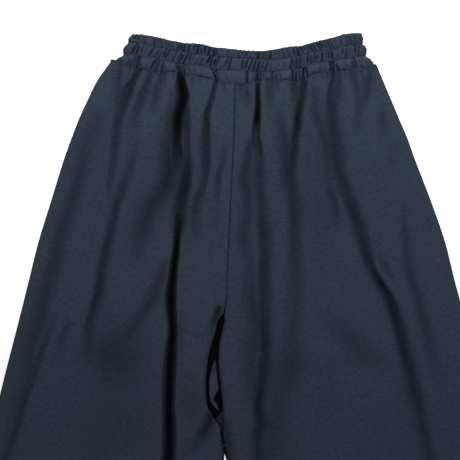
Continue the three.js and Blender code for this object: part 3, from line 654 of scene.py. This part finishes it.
def tunnels(x, down, side):
    """How far the back's own folds lift it, before the front above holds them down."""
    rise = np.zeros_like(x)
    for waist, crotch, hem, half, lift, ends in BACK_TUNNELS[side]:
        own = waist + np.zeros_like(down)
        middle = curve([60, 400, LENGTH], [waist, crotch, hem], down) + 4 * soft_noise(down, own, 70, 9, 29)
        fade = (1 - ease(ends * 0.4, ends, down)) * (1 + 0.35 * soft_noise(down, own, 45, 9, 31))
        half = half * (1 + 0.3 * soft_noise(down, own, 55, 9, 37))
        rise = np.maximum(rise, lift * fade * np.exp(-(((x - middle) / half) ** 2)))
    return np.maximum(rise - TUNNEL_FLOOR, 0)


def back_panel(name, side):
    x, down, outer = back_grid(side)
    lip = lip_of(x, down)
    bridge = bridge_of(x, down)
    shown = np.maximum(lip, bridge)
    rise = tunnels(x, down, side) + LIP_RISE * shown
    edge = ease(0, 12, np.abs(x - outer)) * ease(0, 4, down - seam_down(x))
    front, _ = front_surface(x, down, side)
    from_left = x - row_of(FRONT_INNER, "left", down)
    from_right = row_of(FRONT_INNER, "right", down) - x
    uncovered = shown * ease(0.2, 1.6, from_left) * ease(0.2, 1.6, from_right)
    room = np.maximum(front - 2 * CLOTH - SLACK, 0) + 30 * uncovered
    low = room * (1 - np.exp(-rise * edge / np.maximum(room, 0.01)))
    # Painted shade: the opening below the crotch is darkened but for the lip, and so are two spots on the
    # lip and the fold at its foot.
    shade = sum(np.exp(-((x - at) ** 2 + (down - level) ** 2) / size) for at, level, size in LIP_PAINTED_SHADES)
    dark = np.maximum(in_crotch(x, down) * (1 - shown), np.maximum(0.45 * shade * lip, 0.6 * bridge))
    return sewn_panel(name, x, down, low + CLOTH, dark)


right_back = back_panel("back_right_cloth", "left")
left_back = back_panel("back_left_cloth", "right")

# %% [markdown]
# The waistband
# Two rows of elastic are drawn through a doubled strip of cloth. The stitch lines hold the strip down,
# the cloth puffs up between them, and the elastic gathers it into narrow uneven pleats. The band is one
# closed tube: a profile goes up the outside, over the top edge and down the inside, and is carried
# round the waist. The pleats are cut into the outside only, since the inside isn't seen.

# %% Sizes of the waistband
FIRST_STITCH, SECOND_STITCH = 0.29, 0.67  # as shares of the band's width
CASING = 2.2  # thickness of the casing with its elastic
BAND_HIGH = 7.4  # height of the band's front at its top edge, without its puffs
END_ROUND = 4.2  # how far the band's ends bulge
END_WALL = 1.9  # thickness of the casing there
INSIDE_LOWEST = 3.3  # the front's inner wall stays above this
PUFFS = [  # start and end of each row of the band, as shares of its width, and how far the row swells
    (-0.02, FIRST_STITCH, 2.1), (FIRST_STITCH, SECOND_STITCH, 2.3), (SECOND_STITCH, 1, 2),
]
BAND_EDGES = {
    "part": [0, 0.14, 0.29, 0.34, 0.48, 0.67, 0.73, 0.86, 1],
    "left": [-131, -135.5, -134, -138, -142, -140.5, -146, -151, -153.5],
    "right": [166.5, 168.5, 167, 170.5, 173, 171.5, 176.5, 181, 184],
}

# %% The pleats of the waistband
# The pleats of each row of elastic, and the pinches of the plain strip below: where each valley lies
# and how deep it is. The elastic has pulled some stretches tight and left others nearly smooth.
UPPER_PLEATS = [
    (-127, 1.6), (-122, 2.2), (-115, 1), (-112, 1), (-101.5, 1.8), (-96.5, 1.7), (-92, 1.2), (-86.5, 1),
    (-82.5, 1.3), (-78, 1.2), (-71, 1.8), (-67, 2.2), (-62.8, 2.8), (-56.8, 2.4), (-50.5, 1.8),
    (-45.5, 2.4),
    (-41.5, 1.4), (-36, 2.5), (-31, 2.8), (-28.5, 1.6), (-24.4, 2.9), (-20.4, 1.6), (-6.5, 1.2), (0, 0.6),
    (7, 1.1), (12.3, 1.5), (17, 1.8), (22.7, 1.2), (29, 1.9), (32.5, 2.7), (36, 1.4), (39.6, 1.7),
    (44, 1.2),
    (48.7, 2.5), (54, 1.4), (59.5, 0.9), (64.3, 1.2), (71, 1.2), (78.6, 1.8), (83.8, 2.3), (88.4, 1.7),
    (93, 1.6), (97.5, 1.3), (100.7, 1.7), (104.6, 1.6), (110.5, 2.3), (114.4, 2.4), (119, 1.6),
    (123.5, 1.9),
    (126.7, 1.6), (132, 0.9), (139, 1), (147.5, 1), (151.5, 1.5), (158, 1.3), (163, 0.8),
]
MIDDLE_PLEATS = [
    (-137, 0.9), (-127.4, 2.3), (-122.8, 2.3), (-118, 1.6), (-112, 0.8), (-105.3, 2), (-97.5, 1.4),
    (-92.5, 1.4),
    (-89, 2), (-85, 2), (-80, 1.1), (-75.4, 1.5), (-69.5, 2.2), (-66.3, 2.2), (-61, 2.4), (-56.5, 1.8),
    (-52, 1), (-45, 1), (-39.6, 1.6), (-32.5, 2.8), (-28, 2.4), (-24, 2.6), (-20.8, 2), (-9, 1.7), (-4, 2),
    (3, 0.6), (12.3, 2), (17, 2.3), (22.7, 2), (28, 2.2), (33, 2.4), (38, 1.5), (43.5, 1.8), (49, 1),
    (57, 0.6), (66, 0.8), (75.4, 2.2), (78, 1.7), (82.6, 1.9), (87, 2), (91, 1.2), (96.2, 2.1), (100.7, 2),
    (106, 1.9), (109.2, 1.8), (115, 2.6), (119, 1), (124, 2), (128, 2.6), (135, 0.9), (141.7, 1.5),
    (146.3, 1.6),
    (151, 0.8), (158, 1.9), (162.5, 1.6), (168, 0.7),
]
STRIP_PINCHES = [
    (-134, 1.6), (-129.5, 1.8), (-126, 2), (-122.5, 2.6), (-104, 2.8), (-100, 2), (-97, 2.2), (-91, 2.4),
    (-71.5, 3), (-68, 2.2), (-63, 2), (-59, 1.6), (-55, 1.5), (-50, 0.9), (-24, 3.2), (-19.5, 2.4),
    (-15, 1.2),
    (-9, 0.8), (1, 0.7), (18.2, 3), (28, 1.6), (31.5, 3.2), (35.5, 2.4), (39.5, 1.6), (50.5, 2),
    (55.5, 2.2),
    (60.5, 1), (77, 2.6), (81.5, 3), (86, 2), (91, 3), (95.5, 2.6), (113, 1.2), (117, 1), (126, 2.8),
    (129.5, 3.2),
    (134.5, 2.4), (146, 0.9), (154.5, 1.6), (158.5, 1.8), (165, 1), (172, 0.9),
]
PLEAT_TABLES = [  # valleys, middle of the row, its start and end as shares of the width, widest half pleat
    (UPPER_PLEATS, 0.14, -0.05, FIRST_STITCH, 2.4),
    (MIDDLE_PLEATS, 0.48, FIRST_STITCH, SECOND_STITCH, 2.4),
    (STRIP_PINCHES, 0.84, SECOND_STITCH, 1.05, 3.4),
]
PLEAT_LEANS = {  # how far the pleats of each row lean, in millimetres across for each one down
    "x": [-135, -95, -60, -20, 5, 30, 75, 95, 125, 140, 170],
    "upper": [0, -0.1, -0.15, -0.1, 0.05, -0.1, 0.2, 0.45, 0.5, 0.1, 0],
    "middle": [-0.45, -0.5, -0.45, -0.4, -0.25, -0.3, 0, 0.05, 0.1, 0.05, 0],
    "strip": [-0.5, -0.2, 0.3, 0.4, 0, 0, 0, 0.1, 0, 0.3, 0.4],
}
BACK_PLEATS = 54


# %% The band's lines, puffs and pleats
def row_of_x(table, line, x):
    return curve(table["x"], table[line], x)


def row_of_part(side, part):
    return curve(BAND_EDGES["part"], BAND_EDGES[side], part)


def band_down(x, part):
    """Distance down of a point of the band, between its four lines."""
    lines = ("top", "first", "second", "seam")
    top, first, second, seam = (row_of_x(BAND_LINES, line, x) for line in lines)
    upper = np.clip(part / FIRST_STITCH, 0, 1)
    middle = np.clip((part - FIRST_STITCH) / (SECOND_STITCH - FIRST_STITCH), 0, 1)
    lower = np.clip((part - SECOND_STITCH) / (1 - SECOND_STITCH), 0, 1)
    return top + (first - top) * upper + (second - first) * middle + (seam - second) * lower


def puff(part):
    """How far the band swells between its stitch lines."""
    total = np.zeros_like(part)
    for start, end, rise in PUFFS:
        u = np.clip((part - start) / (end - start), 0, 1)
        swell = np.sqrt(np.clip(1 - np.abs(2 * u - 1) ** 2.3, 0, 1))
        if end == 1:
            swell = np.where(u > 0.45, 1 - 0.9 * ease(0.45, 1.05, u), swell)
        total = np.maximum(total, rise * swell)
    for mark in (FIRST_STITCH, SECOND_STITCH):
        total = total - 0.3 * np.exp(-(((part - mark) / 0.02) ** 2))
    return total


def strip_dome(x, valley):
    """1 on the crest of a wide smooth stretch between two pinches, and 0 at the pinches."""
    k = np.clip(np.searchsorted(valley, x), 1, len(valley) - 1)
    gap = valley[k] - valley[k - 1]
    across = np.clip(2 * (x - valley[k - 1]) / gap - 1, -1, 1)
    return np.sqrt(1 - np.abs(across) ** 2.4) * ease(6, 13, gap)


def pleat_depth(x, part, down):
    """How deep the pleats cut at each point, and the painted shade in their valleys: the share of light the
    colour loses there.

    The shoulders of a valley are round, so that the cloth between two valleys is a small roll.
    """
    rng = np.random.default_rng(21)
    total = np.zeros_like(x)
    for (pleats, middle, start, end, widest), line in zip(PLEAT_TABLES, ("upper", "middle", "strip")):
        valley, depth = np.array(pleats, float).T
        gaps = np.diff(valley)
        half = np.minimum(np.maximum(np.append(gaps, 9), np.append(9, gaps)) * 0.62, widest)
        row_middle = band_down(x, np.full_like(x, middle))
        leaning = x - row_of_x(PLEAT_LEANS, line, x) * (down - row_middle)
        inside = ease(start - 0.012, start + 0.03, part) * (1 - ease(end - 0.03, end + 0.012, part))
        along = (part - start) / (end - start)
        deepest = np.zeros_like(x)
        for v, d, h in zip(valley, depth, half):
            own_lean, own_width, starts, ends = rng.uniform((-0.12, 0.8, -0.5, 0.6), (0.12, 1.15, 0.3, 1.5))
            u = np.abs(leaning - v + own_lean * (down - row_middle)) / (h * own_width)
            held = ease(starts - 0.12, starts + 0.12, along) * (1 - ease(ends - 0.12, ends + 0.12, along))
            if line == "strip":
                u = u / (0.8 + 0.5 * (2 * along - 1) ** 2)
            deepest = np.maximum(deepest, d * (0.3 + 0.7 * held) * (1 - ease(0, 1, u)))
        total = np.maximum(total, deepest * inside)
        if line == "strip":
            own = np.clip((part - start) / (1 - start), 0, 1)
            total = total - 1.2 * strip_dome(leaning, valley) * np.sqrt(4 * own * (1 - own))
    across = np.sin(x * 2.1 + 3 * np.sin(down * 0.13)) * np.sin(x * 0.83 + down * 0.21)
    total = total + 0.12 * across
    # The second value is painted shade, growing where the pleats cut in most.
    return 1.3 * total, 0.76 * np.clip((total - 0.3) / 2.4, 0, 1)


def leg_high(x):
    down = seam_down(x) + 3
    right, _ = front_surface(x, down, "left")
    left, _ = front_surface(x, down, "right")
    return np.where(x < MIDDLE, right, left)


def band_front(x, part):
    """Height of the band's front face without its pleats."""
    legs = np.clip(leg_high(x), 5.5, 15)
    base = BAND_HIGH + (legs - BAND_HIGH) * ease(0.6, 1, part)
    return base + puff(part)


# %% Build the waistband
FRONT_STATIONS, END_STATIONS, BACK_STATIONS = 900, 8, 200
OUTSIDE_ROWS, TOP_ROWS, INSIDE_ROWS = 56, 3, 6


def band_grid():
    """Points of the tube: a row for each place on the profile, a column for each one round the waist."""
    parts = [(p, "outside", 0.0) for p in np.linspace(1, 0, OUTSIDE_ROWS)]
    parts += [(0.0, "top", math.pi * (k + 1) / (TOP_ROWS + 1)) for k in range(TOP_ROWS)]
    parts += [(p, "inside", math.pi) for p in np.linspace(0, 1, INSIDE_ROWS)]
    share_front = np.linspace(0, 1, FRONT_STATIONS)
    share_back = np.linspace(1, 0, BACK_STATIONS + 2)[1:-1]
    turn = np.linspace(math.pi / 2, -math.pi / 2, END_STATIONS + 2)[1:-1]
    ends = np.zeros(END_STATIONS)
    ripple = 0.5 + 0.5 * np.sin(2 * math.pi * BACK_PLEATS * share_back + 1.3 * np.sin(31 * share_back))
    inset = 1 - END_WALL / END_ROUND
    rows = []
    for part, face, angle in parts:
        left = float(row_of_part("left", part)) + END_ROUND
        right = float(row_of_part("right", part)) - END_ROUND
        xf = left + (right - left) * share_front
        xb = left + (right - left) * share_back
        part_f = np.full_like(xf, part)
        smooth = band_front(xf, part_f)
        cut, painted_pleat_shade = pleat_depth(xf, part_f, band_down(xf, part_f))
        near_end = ease(0, 4, np.minimum(xf - left, right - xf))
        zf_out = smooth - cut * near_end
        zf_in = np.maximum(smooth - CASING - 2, INSIDE_LOWEST)
        bulge = END_ROUND * np.cos(turn)
        zr = zf_out[-1] / 2 * (1 + np.sin(turn))
        zl = zf_out[0] / 2 * (1 + np.sin(turn[::-1]))
        held = sum(np.exp(-(((part - mark) / 0.03) ** 2)) for mark in (FIRST_STITCH, SECOND_STITCH))
        zb_out = 0.9 * ripple**3 + 0.5 * held
        zb_in = np.full_like(xb, CASING + 0.3)
        x_out = np.concatenate([xf, right + bulge, xb, left - bulge])
        x_in = np.concatenate([xf, right + inset * bulge, xb, left - inset * bulge])
        z_out = np.concatenate([zf_out, zr, zb_out, zl])
        z_in = np.concatenate([zf_in, np.clip(zr, CASING + 0.3, zf_in[-1]), zb_in,
                               np.clip(zl, CASING + 0.3, zf_in[0])])
        blend = (1 - math.cos(angle)) / 2
        x = x_out * (1 - blend) + x_in * blend
        z = z_out * (1 - blend) + z_in * blend
        scallop = 0.5 * np.concatenate([cut, ends, 0.5 * ripple, ends]) * (1 - ease(0, 0.12, part))
        down = band_down(x, np.full_like(x, part)) - 1.0 * math.sin(angle) + scallop
        # Painted shade in the colour: the front's pleat valleys and the back's ripples are darkened.
        dark = np.concatenate([painted_pleat_shade, ends, 0.3 * ripple**3, ends])
        rows.append((x, down, z, dark))
    return [np.array(column) for column in zip(*rows)]


def waistband():
    x, down, z, dark = band_grid()
    faces = grid_faces(*x.shape, wrap_rows=True, wrap_columns=True)
    piece = check_outward(cloth_mesh("waistband_cloth", x, down, z, dark, faces))
    for edge in piece.data.edges:  # the lower edge, where the band turns in under itself
        edge.use_edge_sharp = max(edge.vertices) < x.shape[1]
    print("waistband_cloth", triangles(piece), "triangles, lowest point", round(float(z.min()), 2), "mm")
    return piece


band = waistband()

# %% [markdown]
# Stitching
# A lockstitch is a row of short thread dashes, pulled down into the cloth. One stitch is modelled from a
# small sphere, and a copy is laid along each line, turned to follow it. On the waistband most of each
# stitch lies below the surface. Those of the hems lie wholly inside the cloth and don't show, because
# the groove that they follow is narrower than the spacing of the panels' rows.

# %% One stitch, and rows of it
STITCH = (1.25, 0.3, 0.26)  # half length, half width and half height
STITCH_STEP = 3.3
STITCH_LIFT = 0.05  # the thread's middle lies this much above the height worked out for the cloth
HEM_POINTS = 220
bpy.ops.object.select_all(action="DESELECT")
bpy.ops.mesh.primitive_uv_sphere_add(segments=8, ring_count=5, radius=1)
one_stitch = bpy.context.active_object
bpy.ops.object.mode_set(mode="EDIT")
bpy.ops.mesh.select_all(action="SELECT")
bpy.ops.transform.rotate(value=math.pi / 2, orient_axis="Y", center_override=(0, 0, 0))
bpy.ops.transform.resize(value=tuple(size * MM for size in STITCH))
bpy.ops.object.mode_set(mode="OBJECT")
stitch_points = np.array([v.co for v in one_stitch.data.vertices])
stitch_faces = [list(polygon.vertices) for polygon in one_stitch.data.polygons]
bpy.data.objects.remove(one_stitch)


def place_on(line, length, at):
    return np.array([np.interp(at, length, line[:, k]) for k in range(3)])


def stitch_row(line):
    """Places a stitch on each step of a line of x, down and height, in millimetres."""
    line = np.stack([line[0], LENGTH / 2 - line[1], line[2]], axis=-1) * MM
    length = np.concatenate([[0], np.cumsum(np.linalg.norm(np.diff(line[:, :2], axis=0), axis=1))])
    marks = np.arange(STITCH_STEP, length[-1] / MM - STITCH_STEP, STITCH_STEP) * MM
    points = []
    for mark in marks:
        ahead = place_on(line, length, mark + STITCH[0] * MM)
        behind = place_on(line, length, mark - STITCH[0] * MM)
        middle = (ahead + behind) / 2
        forward = (ahead - behind) / np.linalg.norm(ahead - behind)
        side = np.cross([0, 0, 1], forward)
        side = side / np.linalg.norm(side)
        turn = np.stack([forward, side, np.cross(forward, side)])
        points.append(stitch_points @ turn + middle)
    return points


def band_line(part):
    x = np.linspace(float(row_of_part("left", part)) + 6, float(row_of_part("right", part)) - 6, 700)
    at = np.full_like(x, part)
    down = band_down(x, at)
    cut, _ = pleat_depth(x, at, down)
    return x, down, band_front(x, at) - cut + STITCH_LIFT


def hem_line(side):
    share = np.linspace(0, 1, HEM_POINTS)
    x = np.linspace(FRONT_INNER[side][-1], SIDE_SEAMS[side][-1], HEM_POINTS)
    for _ in range(4):
        down = LENGTH - HEM_LIFT * outward_share(x) - HEM_TURN
        x = (1 - share) * row_of(FRONT_INNER, side, down) + share * row_of(SIDE_SEAMS, side, down)
    high, _ = front_surface(x, down, side)
    return x, down, high + STITCH_LIFT


def stitching():
    points = []
    for line in (band_line(FIRST_STITCH), band_line(SECOND_STITCH), hem_line("left"), hem_line("right")):
        points += stitch_row(line)
    count = len(stitch_points)
    faces = [[v + k * count for v in face] for k in range(len(points)) for face in stitch_faces]
    mesh = bpy.data.meshes.new("stitching")
    mesh.from_pydata(np.concatenate(points).tolist(), [], faces)
    piece = bpy.data.objects.new("stitching", mesh)
    bpy.context.collection.objects.link(piece)
    mesh.shade_smooth()
    print("stitching:", len(points), "stitches,", triangles(piece), "triangles")
    return check_outward(piece)


thread = stitching()

# %% [markdown]
# The cloth's finish
# The cloth is a matte navy plain weave. Its threads across are spun unevenly, which shows as short fine
# streaks, and the yarn is flecked. The streaks come from noise that is stretched along the thread. A
# fine weave goes to the bump, and a little sheen stands for the fibres that lift off the surface.

# %% Materials
NAVY = (0.0182, 0.0238, 0.0366, 1)
DARK_YARN = (NAVY[0] * 0.62, NAVY[1] * 0.63, NAVY[2] * 0.68, 1)
PALE_YARN = (0.0318, 0.0398, 0.0576, 1)
# The colour of painted shade, towards which the cloth is blended where folds, seams and the opening lie in
# shade.
PAINTED_SHADE_COLOUR = (0.0004, 0.0006, 0.0014, 1)  # the bottom of a fold, where hardly any light comes
THREAD_COLOURS = ((0.012, 0.016, 0.025, 1), (0.026, 0.032, 0.048, 1))


def add(tree, kind, inputs=None, **settings):
    node = tree.nodes.new(kind)
    for key, value in settings.items():
        setattr(node, key, value)
    for key, value in (inputs or {}).items():
        if isinstance(value, bpy.types.NodeSocket):
            tree.links.new(value, node.inputs[key])
        else:
            node.inputs[key].default_value = value
    return node


def blend_colours(tree, share, first, second):
    return add(tree, "ShaderNodeMix", {0: share, 6: first, 7: second}, data_type="RGBA").outputs[2]


def noise(tree, place, scale, detail=2):
    grain = add(tree, "ShaderNodeTexNoise", {"Vector": place, "Scale": scale, "Detail": detail})
    return grain.outputs["Fac"]


def ribs(tree, place, scale, way):
    wave = add(tree, "ShaderNodeTexWave", {"Vector": place, "Scale": scale}, bands_direction=way)
    return wave.outputs["Fac"]


def combine(tree, first, second, how):
    return add(tree, "ShaderNodeMath", {0: first, 1: second}, operation=how).outputs[0]


def spread(tree, value, low, high, most):
    """Stretches the values from low to high over the range from 0 to most."""
    return add(tree, "ShaderNodeMapRange", {0: value, 1: low, 2: high, 3: 0.0, 4: most}).outputs[0]


def new_material(name, finish):
    """A node material, its tree and its shader with that finish."""
    material = bpy.data.materials.new(name)
    material.use_nodes = True
    shader = material.node_tree.nodes["Principled BSDF"]
    for key, value in finish.items():
        shader.inputs[key].default_value = value
    return material, material.node_tree, shader


# %% The finishes
def cloth_material(name):
    material, tree, shader = new_material(name, {
        "Roughness": 0.92, "Specular IOR Level": 0.03,
        "Sheen Weight": 0.02, "Sheen Roughness": 0.45, "Sheen Tint": (0.55, 0.62, 0.8, 1),
    })
    place = add(tree, "ShaderNodeUVMap", uv_map="weave").outputs[0]
    slub_place = add(tree, "ShaderNodeMapping", {"Vector": place, "Scale": (160, 420, 1)}).outputs[0]
    slub = noise(tree, slub_place, 1, 3)
    grain = combine(tree, slub, noise(tree, place, 190, 4), "ADD")
    grain = combine(tree, grain, noise(tree, place, 800), "ADD")
    colour = blend_colours(tree, spread(tree, grain, 0.8, 2.2, 1.0), DARK_YARN, PALE_YARN)
    tone = spread(tree, noise(tree, place, 14), 0.3, 0.7, 0.16)
    colour = blend_colours(tree, tone, colour, NAVY)
    # The depth attribute blends the cloth's colour towards the painted shade colour.
    painted_shade_share = add(tree, "ShaderNodeAttribute", attribute_name="depth").outputs["Fac"]
    tree.links.new(blend_colours(tree, painted_shade_share, colour, PAINTED_SHADE_COLOUR), shader.inputs["Base Color"])
    weave = combine(tree, ribs(tree, place, 420, "X"), ribs(tree, place, 480, "Y"), "MULTIPLY")
    fine = add(tree, "ShaderNodeBump", {"Strength": 0.35, "Distance": 0.0003, "Height": weave}).outputs[0]
    threads = {"Strength": 0.5, "Distance": 0.0005, "Height": slub, "Normal": fine}
    tree.links.new(add(tree, "ShaderNodeBump", threads).outputs[0], shader.inputs["Normal"])
    return material


def thread_material():
    material, tree, shader = new_material("sewing thread", {"Roughness": 0.7})
    twist = noise(tree, add(tree, "ShaderNodeTexCoord").outputs["Object"], 2600)
    tree.links.new(blend_colours(tree, twist, *THREAD_COLOURS), shader.inputs["Base Color"])
    return material


navy_cloth = cloth_material("navy cloth")
navy_band = cloth_material("navy cloth of the band")
navy_thread = thread_material()
for piece in (right_leg, left_leg, right_back, left_back):
    piece.data.materials.append(navy_cloth)
band.data.materials.append(navy_band)
thread.data.materials.append(navy_thread)
print("finishes:", ", ".join(finish.name for finish in (navy_cloth, navy_band, navy_thread)))

# %% [markdown]
# Attaching the pieces
# Each piece rides on the object's only body and stands for its CAD node, which is hidden. The band was
# cut far longer than it lies, because the elastic has gathered it.

# %% Ride and replace
BACKS = ["back_right_cloth", "back_left_cloth"]
for piece, node, under, area in (
    (right_leg, "front_right_leg", BACKS, 0.27), (left_leg, "front_left_leg", BACKS, 0.29),
    (right_back, "back_right_leg", ["table"], 0.25), (left_back, "back_left_leg", ["table"], 0.27),
):
    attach(piece, "root")
    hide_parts(node)
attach(band, "root")
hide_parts("waistband")
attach(thread, "root")

# %% [markdown]
# Table, light and camera
# The trousers lie on a white table. A wide lamp high beyond the waist gives the folds their soft shade,
# which the shade painted into the cloth's colour deepens, and an even white sky fills the rest. The
# camera looks straight down.

# %% Table, light and camera
FRAME_WIDE = 594  # what the picture takes in, in millimetres
PICTURE_MIDDLE = (-3.75, 253.9)  # x and down of the picture's middle
CAMERA_HIGH = 2.6  # in metres, as are the lamp's sizes
CLOTH_LEVEL = 0.006  # mean height of the cloth, where the picture is as wide as said
TABLE_WHITES = ((0.86, 0.86, 0.865, 1), (0.88, 0.88, 0.88, 1))
SKY = 0.25
LAMP_PLACE = np.array((0.06, 1.1, 1.05))
LAMP_AIM = np.array((0, 0.15, 0))
LAMP_WIDE = 0.7
LAMP_WATTS = 31.6

bpy.ops.object.select_all(action="DESELECT")
bpy.ops.mesh.primitive_plane_add(size=8, location=(0, 0, 0))
table = bpy.context.active_object
table.name = "table"
white, tree, shader = new_material("white table", {"Roughness": 0.85, "Specular IOR Level": 0.1})
table_tone = noise(tree, add(tree, "ShaderNodeTexCoord").outputs["Object"], 3)
tree.links.new(blend_colours(tree, table_tone, *TABLE_WHITES), shader.inputs["Base Color"])
table.data.materials.append(white)

world = bpy.data.worlds.new("white sky")
bpy.context.scene.world = world
world.use_nodes = True
world.node_tree.nodes["Background"].inputs["Color"].default_value = (1, 1, 1, 1)
world.node_tree.nodes["Background"].inputs["Strength"].default_value = SKY

window = bpy.data.lights.new("window lamp", "AREA")
window.shape = "DISK"
window.size = LAMP_WIDE
window.energy = LAMP_WATTS
lamp = bpy.data.objects.new("window lamp", window)
lamp.location = LAMP_PLACE
way = LAMP_AIM - LAMP_PLACE
lamp.rotation_euler = (math.atan2(math.hypot(way[0], way[1]), -way[2]), 0,
                       math.atan2(way[1], way[0]) - math.pi / 2)
lamp.visible_camera = False
bpy.context.collection.objects.link(lamp)

camera_data = bpy.data.cameras.new("camera")
camera_data.sensor_width = 36
camera_data.lens = camera_data.sensor_width * (CAMERA_HIGH - CLOTH_LEVEL) / (FRAME_WIDE * MM)
camera = bpy.data.objects.new("camera", camera_data)
camera.location = (PICTURE_MIDDLE[0] * MM, (LENGTH / 2 - PICTURE_MIDDLE[1]) * MM, CAMERA_HIGH)
bpy.context.collection.objects.link(camera)
bpy.context.scene.camera = camera
bpy.context.scene.view_settings.view_transform = "Standard"
print("lens:", round(camera_data.lens, 1), "mm for a picture", FRAME_WIDE, "mm wide")
